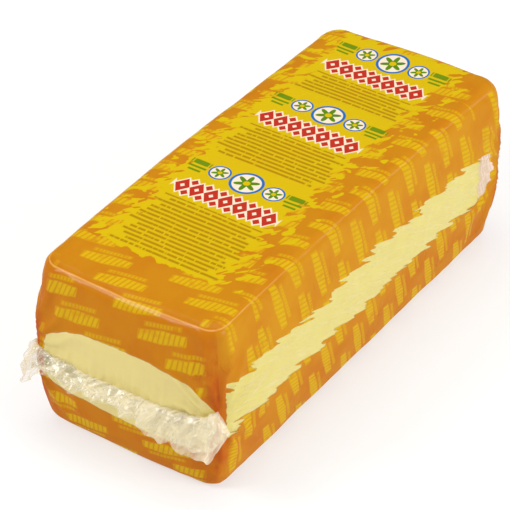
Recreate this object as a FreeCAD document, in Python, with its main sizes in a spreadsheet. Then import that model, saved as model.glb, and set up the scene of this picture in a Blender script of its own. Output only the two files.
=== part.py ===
"""Butter cheese: a 3 kg loaf of semi-soft cheese, shrink-wrapped in a printed film bag whose two
ends are sealed across the middle of the end faces and stand out as crumpled fins.

Frame: +Z up, +Y along the loaf, origin at the centre of the flat base. The front end is at -Y.
All sizes are millimetres.

Nodes
    cheese_loaf     the block of cheese, solid, with bellied sides and ends and an arched top
    film_sleeve     the film that hugs the block on all six sides
    end_seal_front  the gathered, ruffled film beyond the seal at -Y
    end_seal_back   the same at +Y
"""

import FreeCAD, Part

import math
import os

import Sketcher

SHEET = "Sizes"
OUT_FOLDER = "parts"

# Driving dimensions: alias, value, what it is.
SIZES = [
    ("loaf_width", 102.0, "width of the wrapped loaf at its base and top edges"),
    ("loaf_length", 259.5, "length of the wrapped loaf at the corners of its base and top"),
    ("loaf_height", 96.0, "height of the wrapped loaf at its two end edges"),
    ("top_arch", 3.0, "how far the top rises from the end edges to mid length"),
    ("side_belly", 5.0, "how far each long side swells out at mid height"),
    ("corner_belly", 4.5, "how far each upright corner moves out along the loaf at mid height"),
    ("end_bow_edge", 1.5, "rise of the arc of each end, in plan, at base and top"),
    ("end_bow_middle", 6.0, "rise of the arc of each end, in plan, at mid height"),
    ("upright_radius", 9.0, "rounding of the four upright edges"),
    ("top_radius", 5.0, "rounding of the top edges"),
    ("base_radius", 6.0, "rounding of the base edges"),
    ("film_thickness", 0.3, "wall of the film sleeve"),
    ("seal_level", 49.0, "height of the seal line above the base"),
    ("seal_bury", 12.0, "how far the fin is drawn inwards before the loaf is cut away from it"),
    ("seal_reach", 9.0, "how far the fin stands out past the middle of the end face"),
    ("seal_inset", 3.0, "how far the seal line stops short of each side of the loaf"),
    ("seal_drop", 6.0, "drop of the fin's free edge along most of the end"),
    ("ear_drop_left", 18.0, "drop of the fin's left ear, seen from that end"),
    ("ear_drop_right", 17.0, "drop of the fin's right ear, seen from that end"),
    ("ear_reach_left", 6.5, "how far the left ear spreads past the end of the seal line"),
    ("ear_reach_right", 11.0, "how far the right ear spreads past the end of the seal line"),
    ("seal_wall", 2.0, "thickness of the gathered film layers in the fin"),
    ("ruffle_height", 2.0, "height of the ruffles at the free edge"),
    ("ruffle_count", 9.0, "ruffles across the fin"),
]

VALUE = {alias: value for alias, value, _ in SIZES}


def cell(alias):
    """The expression that reads one cell of the sheet."""
    return f"{SHEET}.{alias}"


def make_sheet(doc):
    """Spreadsheet with every driving dimension, its alias and a note."""
    sheet = doc.addObject("Spreadsheet::Sheet", SHEET)
    for row, (alias, value, note) in enumerate(SIZES, start=1):
        sheet.set(f"A{row}", alias)
        sheet.set(f"B{row}", str(value))
        sheet.setAlias(f"B{row}", alias)
        sheet.set(f"C{row}", note)
    return sheet


def origin_plane(body, role):
    """One of the body's own origin planes, found by its role."""
    return next(f for f in body.Origin.OriginFeatures if f.Role == role)


def attached_sketch(body, name, role, offset="0 mm"):
    """A sketch on one of the body's origin planes, lifted off it by an expression in millimetres."""
    sketch = body.newObject("Sketcher::SketchObject", name)
    sketch.AttachmentSupport = [(origin_plane(body, role), "")]
    sketch.MapMode = "FlatFace"
    sketch.setExpression("AttachmentOffset.Base.z", offset)
    return sketch


def dimension(sketch, constraint, name, expression):
    """Adds a named dimension to a sketch and binds it to an expression."""
    index = sketch.addConstraint(constraint)
    sketch.renameConstraint(index, name)
    sketch.setExpression(f"Constraints.{name}", expression)


def arc_through(a, b, c):
    """Arc of circle from a over b to c, all in the sketch plane."""
    return Part.Arc(*(FreeCAD.Vector(x, y, 0) for x, y in (a, b, c)))


def bow_radius(chord, rise):
    """Expression for the radius of an arc with that chord and rise."""
    return f"({chord})^2 / (8 * ({rise})) + ({rise}) / 2"


def plan_outline(body, name, level, width, length, bow, size):
    """Plan section of the loaf: two straight long sides joined by a bowed arc at each end.

    width, length and bow are expressions; size holds their values now, which place the outline
    before the solver runs.
    """
    sketch = attached_sketch(body, name, "XY_Plane", level)
    half_width, half_length, rise = size[0] / 2, size[1] / 2, size[2]
    right = Part.LineSegment(
        FreeCAD.Vector(half_width, -half_length, 0), FreeCAD.Vector(half_width, half_length, 0)
    )
    left = Part.LineSegment(
        FreeCAD.Vector(-half_width, half_length, 0), FreeCAD.Vector(-half_width, -half_length, 0)
    )
    back = arc_through(
        (half_width, half_length), (0, half_length + rise), (-half_width, half_length)
    )
    front = arc_through(
        (-half_width, -half_length), (0, -half_length - rise), (half_width, -half_length)
    )
    right_id, back_id, left_id, front_id = sketch.addGeometry([right, back, left, front], False)
    start, end, origin = 1, 2, (-1, 1)
    for one, one_end, other, other_end in (
        (right_id, end, back_id, start),
        (back_id, end, left_id, start),
        (left_id, end, front_id, start),
        (front_id, end, right_id, start),
    ):
        sketch.addConstraint(
            Sketcher.Constraint("Coincident", one, one_end, other, other_end)
        )
    sketch.addConstraint(Sketcher.Constraint("Vertical", right_id))
    sketch.addConstraint(Sketcher.Constraint("Vertical", left_id))
    sketch.addConstraint(
        Sketcher.Constraint("Symmetric", right_id, start, left_id, start, *origin)
    )
    across = Sketcher.Constraint(
        "DistanceX", left_id, end, right_id, start, 2 * half_width
    )
    along = Sketcher.Constraint("DistanceY", right_id, start, right_id, end, 2 * half_length)
    dimension(sketch, across, "across", width)
    dimension(sketch, along, "along", length)
    for arc_id, side in ((back_id, "back"), (front_id, "front")):
        radius = (2 * half_width) ** 2 / (8 * rise) + rise / 2
        bend = Sketcher.Constraint("Radius", arc_id, radius)
        dimension(sketch, bend, f"{side}_radius", bow_radius(width, bow))
    return sketch


def arch_cutter(body, name, skin):
    """Side view of everything above the loaf's arched top, drawn on the lengthwise plane."""
    sketch = attached_sketch(body, name, "YZ_Plane")
    inset = VALUE["film_thickness"] * skin
    half = VALUE["loaf_length"] / 2 + VALUE["corner_belly"] + VALUE["end_bow_middle"]
    low = VALUE["loaf_height"] - inset
    rise = VALUE["top_arch"]
    high = low + 2 * rise
    arc = arc_through((half, low), (0, low + rise), (-half, low))
    walls = [
        Part.LineSegment(FreeCAD.Vector(-half, low, 0), FreeCAD.Vector(-half, high, 0)),
        Part.LineSegment(FreeCAD.Vector(-half, high, 0), FreeCAD.Vector(half, high, 0)),
        Part.LineSegment(FreeCAD.Vector(half, high, 0), FreeCAD.Vector(half, low, 0)),
    ]
    arc_id, left_id, lid_id, right_id = sketch.addGeometry([arc, *walls], False)
    start, end, origin = 1, 2, (-1, 1)
    for one, one_end, other, other_end in (
        (arc_id, end, left_id, start),
        (left_id, end, lid_id, start),
        (lid_id, end, right_id, start),
        (right_id, end, arc_id, start),
    ):
        sketch.addConstraint(
            Sketcher.Constraint("Coincident", one, one_end, other, other_end)
        )
    for wall_id in (left_id, right_id):
        sketch.addConstraint(Sketcher.Constraint("Vertical", wall_id))
    sketch.addConstraint(Sketcher.Constraint("Horizontal", lid_id))
    sketch.addConstraint(
        Sketcher.Constraint("Symmetric", left_id, start, right_id, end, -2)
    )
    span = f"{cell('loaf_length')} + 2 * {cell('corner_belly')} + 2 * {cell('end_bow_middle')}"
    spread = Sketcher.Constraint("DistanceX", left_id, start, right_id, end, 2 * half)
    dimension(sketch, spread, "span", span)
    level = Sketcher.Constraint("DistanceY", *origin, left_id, start, low)
    dimension(
        sketch, level, "level", f"{cell('loaf_height')} - {skin} * {cell('film_thickness')}"
    )
    room = Sketcher.Constraint("DistanceY", left_id, start, left_id, end, high - low)
    dimension(sketch, room, "room", f"2 * {cell('top_arch')}")
    bend = Sketcher.Constraint("Radius", arc_id, half**2 / (2 * rise) + rise / 2)
    dimension(sketch, bend, "arch_radius", bow_radius(span, cell("top_arch")))
    return sketch


def edges_where(shape, test):
    """Names of the shape's edges whose bounding box passes a test."""
    return [
        f"Edge{index}"
        for index, edge in enumerate(shape.Edges, start=1)
        if test(edge.BoundBox)
    ]


def rounded(body, name, base, edges, radius):
    """Fillet on the named edges of a feature of the body, with its radius bound to an expression."""
    fillet = body.newObject("PartDesign::Fillet", name)
    fillet.Base = (base, edges)
    fillet.setExpression("Radius", radius)
    return fillet


def loaf_body(doc, label, skin):
    """The bellied, arched, rounded block.

    skin is 0 for the outside of the film and 1 for the cheese, which lies one film thickness
    further in on every side.
    """
    body = doc.addObject("PartDesign::Body", f"{label}_body")
    film = f"{skin} * {cell('film_thickness')}"
    inset = VALUE["film_thickness"] * skin
    edge_width = f"{cell('loaf_width')} - 2 * {film}"
    edge_length = f"{cell('loaf_length')} - 2 * {film}"
    middle_width = f"{edge_width} + 2 * {cell('side_belly')}"
    middle_length = f"{edge_length} + 2 * {cell('corner_belly')}"
    edge_size = (
        VALUE["loaf_width"] - 2 * inset,
        VALUE["loaf_length"] - 2 * inset,
        VALUE["end_bow_edge"],
    )
    middle_size = (
        edge_size[0] + 2 * VALUE["side_belly"],
        edge_size[1] + 2 * VALUE["corner_belly"],
        VALUE["end_bow_middle"],
    )
    roof = f"{cell('loaf_height')} + {cell('top_arch')} - {film}"
    base = plan_outline(
        body, f"{label}_base", film, edge_width, edge_length, cell("end_bow_edge"), edge_size
    )
    middle = plan_outline(
        body,
        f"{label}_middle",
        f"({film} + {roof}) / 2",
        middle_width,
        middle_length,
        cell("end_bow_middle"),
        middle_size,
    )
    top = plan_outline(
        body, f"{label}_top", roof, edge_width, edge_length, cell("end_bow_edge"), edge_size
    )
    block = body.newObject("PartDesign::AdditiveLoft", f"{label}_block")
    block.Profile = base
    block.Sections = [middle, top]
    block.Ruled = False
    doc.recompute()
    arch = body.newObject("PartDesign::Pocket", f"{label}_arch")
    arch.Profile = arch_cutter(body, f"{label}_arch_outline", skin)
    arch.Type = 1
    arch.Midplane = True
    doc.recompute()
    if arch.Shape.Volume >= block.Shape.Volume:
        raise RuntimeError(f"{label}: the arch cut removed nothing")
    half_height = VALUE["loaf_height"] / 2
    upright = edges_where(arch.Shape, lambda box: box.ZLength > half_height)
    corners = rounded(
        body, f"{label}_corners", arch, upright, f"{cell('upright_radius')} - {film}"
    )
    doc.recompute()
    high = edges_where(corners.Shape, lambda box: box.ZMin > half_height)
    top_rim = rounded(body, f"{label}_top_rim", corners, high, f"{cell('top_radius')} - {film}")
    doc.recompute()
    floor = inset + 0.01
    low = edges_where(top_rim.Shape, lambda box: box.ZMax < floor)
    base_rim = rounded(body, f"{label}_base_rim", top_rim, low, f"{cell('base_radius')} - {film}")
    doc.recompute()
    body.Tip = base_rim
    body.Label = label
    return body


def blend(edge_low, edge_high, value):
    """Smooth step from 0 at edge_low to 1 at edge_high."""
    share = min(max((value - edge_low) / (edge_high - edge_low), 0.0), 1.0)
    return share * share * (3 - 2 * share)


def fin_point(across, along, phase):
    """Middle surface of the front fin.

    across runs from -1 at the left ear to 1 at the right one, along from 0 inside the loaf to 1 at
    the free edge, which curls down; phase makes the two ends of the loaf differ.
    """
    half_width = VALUE["loaf_width"] / 2 + VALUE["side_belly"] - VALUE["seal_inset"]
    face = VALUE["loaf_length"] / 2 + VALUE["corner_belly"] + VALUE["end_bow_middle"]
    left = blend(0.6, 1.0, -across)
    right = blend(0.1, 0.95, across)
    drop = VALUE["seal_drop"]
    drop += (VALUE["ear_drop_left"] - VALUE["seal_drop"]) * left
    drop += (VALUE["ear_drop_right"] - VALUE["seal_drop"]) * right
    spread = VALUE["ear_reach_right"] * right - VALUE["ear_reach_left"] * left
    x = across * half_width + spread * blend(0.35, 0.9, along)
    bow = VALUE["end_bow_middle"] * across * across
    reach = VALUE["seal_bury"] + VALUE["seal_reach"]
    y = -face + bow + VALUE["seal_bury"] - reach * math.sin(math.pi * min(along, 0.8) / 1.6)
    z = VALUE["seal_level"] - drop * blend(0.35, 1.2, along) / blend(0.35, 1.2, 1.0)
    turn = math.pi * VALUE["ruffle_count"] * across
    turn += 0.8 * math.sin(3.6 * across + phase) + phase
    swell = 0.7 + 0.3 * math.sin(5.3 * across + 2 * phase)
    ruffle = VALUE["ruffle_height"] * swell * blend(0.3, 1.0, along) * math.sin(turn)
    lean = 0.7 * blend(0.4, 0.9, along)
    return FreeCAD.Vector(x, y - ruffle * lean, z + ruffle * (1 - lean))


def clamped_knots(poles):
    """Multiplicities and knots of a cubic spline with that many poles, which ends on its last ones."""
    inner = poles - 4
    return [4] + [1] * inner + [4], [float(knot) for knot in range(inner + 2)]


def fin_skin(phase, offset):
    """Smooth surface at that distance from the fin's middle surface."""
    columns = int(8 * VALUE["ruffle_count"])
    rows = 14
    nudge = 1e-3
    grid = []
    for i in range(columns + 1):
        across = -1 + 2 * i / columns
        line = []
        for j in range(rows + 1):
            along = j / rows
            middle = fin_point(across, along, phase)
            side = fin_point(across + nudge, along, phase) - fin_point(across - nudge, along, phase)
            out = fin_point(across, along + nudge, phase) - fin_point(across, along - nudge, phase)
            normal = out.cross(side).normalize()
            line.append(middle + normal * offset)
        grid.append(line)
    surface = Part.BSplineSurface()
    ends_u, knots_u = clamped_knots(columns + 1)
    ends_v, knots_v = clamped_knots(rows + 1)
    surface.buildFromPolesMultsKnots(grid, ends_u, ends_v, knots_u, knots_v, False, False, 3, 3)
    return surface


def fin_shape(phase):
    """The ruffled fin at the front end: two skins joined by ruled walls along their four edges."""
    half = VALUE["seal_wall"] / 2
    upper = fin_skin(phase, half)
    lower = fin_skin(phase, -half)
    faces = [upper.toShape(), lower.toShape()]
    u_low, u_high, v_low, v_high = upper.bounds()
    p_low, p_high, q_low, q_high = lower.bounds()
    for one, other in (
        (upper.uIso(u_low), lower.uIso(p_low)),
        (upper.uIso(u_high), lower.uIso(p_high)),
        (upper.vIso(v_low), lower.vIso(q_low)),
        (upper.vIso(v_high), lower.vIso(q_high)),
    ):
        faces.append(Part.makeRuledSurface(one.toShape(), other.toShape()))
    shell = Part.makeShell(faces)
    shell.sewShape()
    solid = Part.makeSolid(Part.Shell(shell.Faces))
    if solid.Volume < 0:
        solid.reverse()
    return solid


def end_seal(doc, label, loaf, phase, turn):
    """Fin outside the loaf: the drawn fin less the wrapped loaf, so that the two meet face to face."""
    fin = doc.addObject("Part::Feature", f"{label}_fin")
    fin.Shape = fin_shape(phase)
    fin.Placement = FreeCAD.Placement(
        FreeCAD.Vector(0, 0, 0), FreeCAD.Rotation(FreeCAD.Vector(0, 0, 1), turn)
    )
    seal = doc.addObject("Part::Cut", f"{label}_cut")
    seal.Base = fin
    seal.Tool = loaf
    seal.Label = label
    return seal


def build():
    """Makes the document and returns it with its sub-parts."""
    doc = FreeCAD.newDocument("butter_cheese")
    make_sheet(doc)
    doc.recompute()
    wrapped = loaf_body(doc, "wrapped_loaf", 0)
    cheese = loaf_body(doc, "cheese_loaf", 1)
    sleeve = doc.addObject("Part::Cut", "film_sleeve_cut")
    sleeve.Base = wrapped
    sleeve.Tool = cheese
    sleeve.Label = "film_sleeve"
    front = end_seal(doc, "end_seal_front", wrapped, 0.4, 0)
    back = end_seal(doc, "end_seal_back", wrapped, 2.1, 180)
    doc.recompute()
    return doc, [cheese, sleeve, front, back]


def check(doc, subparts):
    """Stops if any object of the document failed, or a sub-part is empty or not a valid solid."""
    for item in doc.Objects:
        if {"Invalid", "Error"} & set(item.State):
            raise RuntimeError(f"{item.Name} failed: {item.State}")
    for item in subparts:
        shape = item.Shape
        if shape.isNull() or not shape.isValid() or not shape.Solids:
            raise RuntimeError(f"{item.Label} is not a valid solid")


def report(subparts):
    """Prints each sub-part's box and volume."""
    for item in subparts:
        box = item.Shape.BoundBox
        print(
            f"{item.Label}: solids {len(item.Shape.Solids)}, "
            f"X {box.XMin:.1f}..{box.XMax:.1f}, Y {box.YMin:.1f}..{box.YMax:.1f}, "
            f"Z {box.ZMin:.1f}..{box.ZMax:.1f} mm, {item.Shape.Volume / 1000:.1f} cm3"
        )


def main():
    """Builds, checks and writes every sub-part."""
    doc, subparts = build()
    check(doc, subparts)
    os.makedirs(OUT_FOLDER, exist_ok=True)
    for item in subparts:
        item.Shape.exportStep(f"{OUT_FOLDER}/{item.Label}.step")
    report(subparts)


main()
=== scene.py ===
"""Shrink-wrapped loaf of butter cheese: printed film, the cheese inside and crumpled end seals.

Lengths are millimetres, apart from the studio's, which are metres; meshes are written in metres.
The frame is the loaf's own: +Z up, +Y along the loaf, origin at the centre of the flat base,
front seal at -Y.
"""

from __future__ import annotations

import logging
import math
from dataclasses import dataclass, replace
from enum import Enum
from typing import Callable, Union

import bmesh
import bpy
import numpy as np
from mathutils import Matrix, Vector, noise

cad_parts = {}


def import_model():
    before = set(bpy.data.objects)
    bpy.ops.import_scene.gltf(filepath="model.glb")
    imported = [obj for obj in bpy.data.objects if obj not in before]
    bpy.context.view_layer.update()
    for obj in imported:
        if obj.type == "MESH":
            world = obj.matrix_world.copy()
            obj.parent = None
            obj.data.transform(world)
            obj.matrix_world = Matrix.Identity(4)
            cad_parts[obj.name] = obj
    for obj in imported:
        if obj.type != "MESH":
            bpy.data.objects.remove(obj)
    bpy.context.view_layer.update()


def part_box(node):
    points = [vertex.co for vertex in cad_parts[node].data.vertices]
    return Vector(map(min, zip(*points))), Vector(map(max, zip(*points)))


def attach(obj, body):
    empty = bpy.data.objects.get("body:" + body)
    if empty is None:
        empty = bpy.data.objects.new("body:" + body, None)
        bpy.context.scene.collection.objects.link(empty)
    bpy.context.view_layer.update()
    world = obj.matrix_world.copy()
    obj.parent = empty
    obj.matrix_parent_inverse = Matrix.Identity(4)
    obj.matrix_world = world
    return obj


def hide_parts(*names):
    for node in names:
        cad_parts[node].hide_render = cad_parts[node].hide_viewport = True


LOG = logging.getLogger("butter_cheese")
MM = 0.001
METRE = 1000.0
TINY = 1e-9
LOWER_SHEET = 1000.0  # millimetres from the top's print layout to the base's
OFF_SHEET = 500.0  # millimetres that take the labels off the base's layout

Rgb = tuple[float, float, float]
Number = Union["Reading", float]


def srgb(red: float, green: float, blue: float) -> Rgb:
    """Linear colour from a display colour of 0 to 255.

    Args:
        red: red part.
        green: green part.
        blue: blue part.

    Returns:
        The same colour as linear light.
    """
    parts = (red / 255, green / 255, blue / 255)
    return tuple(c / 12.92 if c <= 0.04045 else ((c + 0.055) / 1.055) ** 2.4 for c in parts)


def ease(low: float, high: float, value: np.ndarray) -> np.ndarray:
    """Smooth step from 0 at low to 1 at high.

    Args:
        low: where the step starts.
        high: where the step ends.
        value: the numbers to step.

    Returns:
        An array of shares between 0 and 1.
    """
    share = np.clip((value - low) / (high - low), 0.0, 1.0)
    return share * share * (3 - 2 * share)


def field_noise(points: np.ndarray, size: float, seed: float) -> np.ndarray:
    """Smooth noise sampled at points.

    Args:
        points: rows of x, y, z in millimetres.
        size: size of a lump in millimetres.
        seed: offset that picks another patch of the same noise.

    Returns:
        One value per point, about -1 to 1.
    """
    places = points / size + seed
    return np.array(
        [noise.fractal(Vector(p), 1.0, 2.0, 2, noise_basis="PERLIN_ORIGINAL") for p in places]
    )


def ridge_noise(points: np.ndarray, size: float, seed: float) -> np.ndarray:
    """Creased noise, with sharp ridges as in crumpled film.

    Args:
        points: rows of x, y, z in millimetres.
        size: size of a crumple in millimetres.
        seed: offset that picks another patch of the same noise.

    Returns:
        One value per point, 0 in the hollows to 1 on the ridges.
    """
    places = points / size + seed
    return np.array([1 - abs(noise.noise(Vector(p))) * 2 for p in places])


# --- Node arithmetic ---


def plug(tree: bpy.types.NodeTree, slot: bpy.types.NodeSocket, value: object) -> None:
    """Fills an input socket.

    Args:
        tree: the node tree.
        slot: the socket.
        value: a reading or a node's output, which is linked, or a plain value, which is set.
    """
    source = value.socket if isinstance(value, Reading) else value
    if isinstance(source, bpy.types.NodeSocket):
        tree.links.new(source, slot)
    elif slot.type == "RGBA" and len(source) == 3:
        slot.default_value = (*source, 1.0)
    else:
        slot.default_value = source


@dataclass(frozen=True)
class Reading:
    """A number that varies over a surface, with arithmetic that adds the nodes it needs."""

    tree: bpy.types.NodeTree
    socket: bpy.types.NodeSocket

    def maths(self, operation: str, *others: Number) -> Reading:
        """One Math node with this reading first.

        Args:
            operation: the node's operation.
            others: its further inputs.

        Returns:
            The node's output.
        """
        node = self.tree.nodes.new("ShaderNodeMath")
        node.operation = operation
        for slot, value in zip(node.inputs, (self, *others)):
            plug(self.tree, slot, value)
        return Reading(self.tree, node.outputs[0])

    def __add__(self, other: Number) -> Reading:
        """Sum."""
        return self.maths("ADD", other)

    def __sub__(self, other: Number) -> Reading:
        """Difference."""
        return self.maths("SUBTRACT", other)

    def __mul__(self, other: Number) -> Reading:
        """Product."""
        return self.maths("MULTIPLY", other)

    def __truediv__(self, other: Number) -> Reading:
        """Quotient."""
        return self.maths("DIVIDE", other)

    def __rsub__(self, other: float) -> Reading:
        """Difference from a plain number."""
        return (self * -1.0) + other

    __radd__ = __add__
    __rmul__ = __mul__

    def __abs__(self) -> Reading:
        """Size without sign."""
        return self.maths("ABSOLUTE")

    def over(self, edge: float) -> Reading:
        """1 where this reading is above edge, else 0."""
        return self.maths("GREATER_THAN", edge)

    def low(self, other: Number) -> Reading:
        """The smaller of the two."""
        return self.maths("MINIMUM", other)

    def high(self, other: Number) -> Reading:
        """The larger of the two."""
        return self.maths("MAXIMUM", other)

    def power(self, exponent: float) -> Reading:
        """Raised to a power."""
        return self.maths("POWER", exponent)

    def floor(self) -> Reading:
        """Whole part."""
        return self.maths("FLOOR")

    def repeat(self, pitch: float) -> Reading:
        """Distance from the middle of the repeat that this reading falls in."""
        return self.maths("WRAP", pitch, 0.0) - pitch / 2

    def rise(self, start: float, end: float) -> Reading:
        """Clamped ramp from 0 at start to 1 at end.

        Args:
            start: reading that gives 0.
            end: reading that gives 1.

        Returns:
            The ramp.
        """
        node = self.tree.nodes.new("ShaderNodeMapRange")
        node.clamp = True
        self.tree.links.new(self.socket, node.inputs["Value"])
        node.inputs["From Min"].default_value = start
        node.inputs["From Max"].default_value = end
        return Reading(self.tree, node.outputs["Result"])

    def edge(self, blur: float) -> Reading:
        """Print mask of a signed distance: 1 inside, 0 outside, with a slightly soft edge."""
        return self.rise(-blur, blur)


@dataclass(frozen=True)
class Bench:
    """Makes readings and shaders in one material's node tree."""

    tree: bpy.types.NodeTree

    def node(self, kind: str, **inputs: object) -> bpy.types.Node:
        """Adds a node and fills its sockets.

        Args:
            kind: the node's type.
            inputs: socket names, with spaces as underscores, and what goes in: a plain value, a
                reading, or another node's output.

        Returns:
            The node.
        """
        made = self.tree.nodes.new(kind)
        for name, value in inputs.items():
            plug(self.tree, made.inputs[name.replace("_", " ")], value)
        return made

    def number(self, socket: bpy.types.NodeSocket) -> Reading:
        """An output socket as a reading."""
        return Reading(self.tree, socket)

    def uv(self, name: str) -> tuple[Reading, Reading]:
        """Both parts of a UV map, in millimetres.

        Args:
            name: the map's name.

        Returns:
            The map's two readings.
        """
        source = self.node("ShaderNodeUVMap")
        source.uv_map = name
        parts = self.node("ShaderNodeSeparateXYZ", Vector=source.outputs["UV"])
        u, v = (self.number(parts.outputs[axis]) * METRE for axis in "XY")
        return u, v

    def place(self) -> tuple[Reading, Reading, Reading]:
        """Object coordinates, in millimetres.

        Returns:
            The place across the loaf, along it and above its base.
        """
        source = self.node("ShaderNodeTexCoord")
        parts = self.node("ShaderNodeSeparateXYZ", Vector=source.outputs["Object"])
        x, y, z = (self.number(parts.outputs[axis]) * METRE for axis in "XYZ")
        return x, y, z

    def grain(
        self, x: Number, y: Number, z: Number = 0.0, detail: float = 2.0, rough: float = 0.5
    ) -> Reading:
        """Noise read at a place whose lumps are one unit across.

        Args:
            x: first part of the place.
            y: second part.
            z: third part.
            detail: layers of finer noise.
            rough: strength of the finer layers.

        Returns:
            The noise, about 0.2 to 0.8.
        """
        spot = self.node("ShaderNodeCombineXYZ", X=x, Y=y, Z=z)
        made = self.node(
            "ShaderNodeTexNoise",
            Vector=spot.outputs[0],
            Scale=1.0,
            Detail=detail,
            Roughness=rough,
        )
        return self.number(made.outputs[0])

    def chance(self, seed: Reading) -> Reading:
        """An even random number for each value of a reading.

        Args:
            seed: the reading.

        Returns:
            The random number, 0 to 1.
        """
        made = self.node("ShaderNodeTexWhiteNoise")
        made.noise_dimensions = "1D"
        plug(self.tree, made.inputs["W"], seed)
        return self.number(made.outputs["Value"])

    def paint(self, under: object, over: object, share: Number) -> bpy.types.NodeSocket:
        """One colour laid over another.

        Args:
            under: colour below.
            over: colour on top.
            share: how much of the top one covers.

        Returns:
            The mixed colour.
        """
        made = self.tree.nodes.new("ShaderNodeMix")
        made.data_type = "RGBA"
        for index, value in ((0, share), (6, under), (7, over)):
            plug(self.tree, made.inputs[index], value)
        return made.outputs[2]

    def blend(
        self, share: Number, first: bpy.types.Node, second: bpy.types.Node
    ) -> bpy.types.Node:
        """Mix Shader of two shaders.

        Args:
            share: how much of the second shows.
            first: shader that shows at 0.
            second: shader that shows at 1.

        Returns:
            The Mix Shader node.
        """
        made = self.tree.nodes.new("ShaderNodeMixShader")
        for slot, value in zip(made.inputs, (share, first.outputs[0], second.outputs[0])):
            plug(self.tree, slot, value)
        return made

    def gloss(self, roughness: float, normal: bpy.types.NodeSocket) -> bpy.types.Node:
        """White gloss on the film's surface."""
        white = (1.0, 1.0, 1.0)
        return self.node("ShaderNodeBsdfGlossy", Color=white, Roughness=roughness, Normal=normal)

    def window(self) -> bpy.types.Node:
        """Perfectly clear film."""
        return self.node("ShaderNodeBsdfTransparent", Color=(1.0, 1.0, 1.0))

    def bump(self, height: Reading, distance: float, strength: float) -> bpy.types.NodeSocket:
        """Normal bent by a height reading.

        Args:
            height: height in units of distance.
            distance: metres that one unit of height stands for.
            strength: share of the effect.

        Returns:
            The bent normal.
        """
        made = self.node("ShaderNodeBump", Height=height, Distance=distance, Strength=strength)
        return made.outputs[0]

    def sheen_weight(
        self, normal: bpy.types.NodeSocket, straight: float, rim_gain: float
    ) -> Reading:
        """Share of gloss on thin film, alike from both of its sides.

        Args:
            normal: the film's bent normal.
            straight: share when looked at straight on.
            rim_gain: what is added to it at the rims.

        Returns:
            The share, which grows towards the rims.
        """
        rim = self.node("ShaderNodeLayerWeight", Blend=0.5, Normal=normal)
        facing = self.number(rim.outputs["Facing"])
        return facing.power(5.0) * rim_gain + straight

    def show(self, shader: bpy.types.Node) -> None:
        """Sends a shader to the material's output."""
        out = self.tree.nodes.new("ShaderNodeOutputMaterial")
        self.tree.links.new(shader.outputs[0], out.inputs["Surface"])


def new_bench(name: str) -> tuple[bpy.types.Material, Bench]:
    """An empty node material and its bench.

    Args:
        name: the material's name.

    Returns:
        The material and its bench.
    """
    material = bpy.data.materials.new(name)
    material.use_nodes = True
    material.node_tree.nodes.clear()
    return material, Bench(material.node_tree)


# --- The loaf's form ---


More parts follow.
